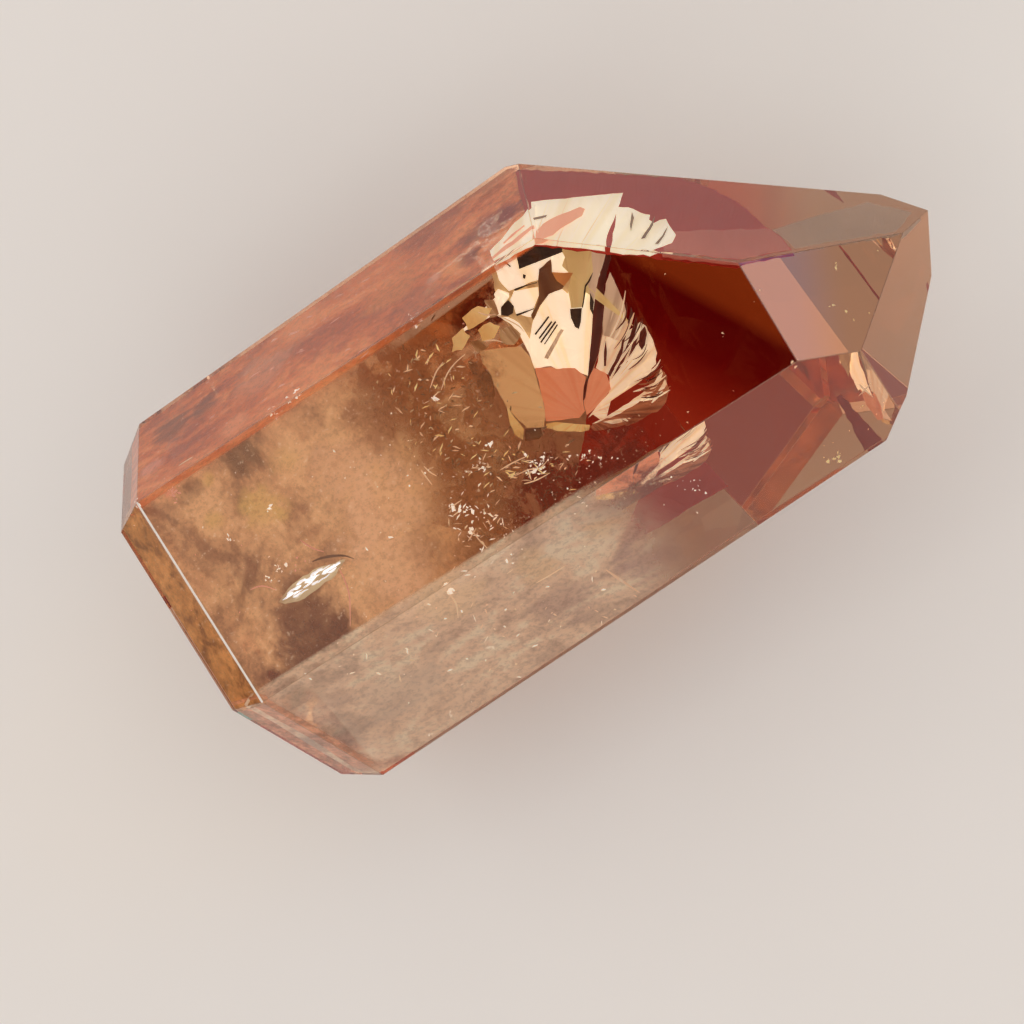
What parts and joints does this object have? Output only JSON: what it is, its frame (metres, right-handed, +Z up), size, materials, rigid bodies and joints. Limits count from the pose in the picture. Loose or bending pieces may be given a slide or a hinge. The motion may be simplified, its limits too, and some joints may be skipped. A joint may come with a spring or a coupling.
{
  "type": "polished citrine point",
  "caption": "Smoky citrine crystal point, ground flat on all sides, with a faceted tip and a bevelled square-cut base. It lies on its back face.",
  "frame": {"origin": "on the surface that the stone rests on, below the middle of its box", "axes": "+X along the long axis towards the tip, +Z up out of the front face, +Y towards the narrow side face"},
  "size_m": [0.0457, 0.0244, 0.0218],
  "materials": {
    "smoky_citrine": "clear smoky golden quartz, polished, with cracks and haze inside"
  },
  "bodies": {
    "root": {"citrine_point": "smoky_citrine"}
  },
  "joints": []
}
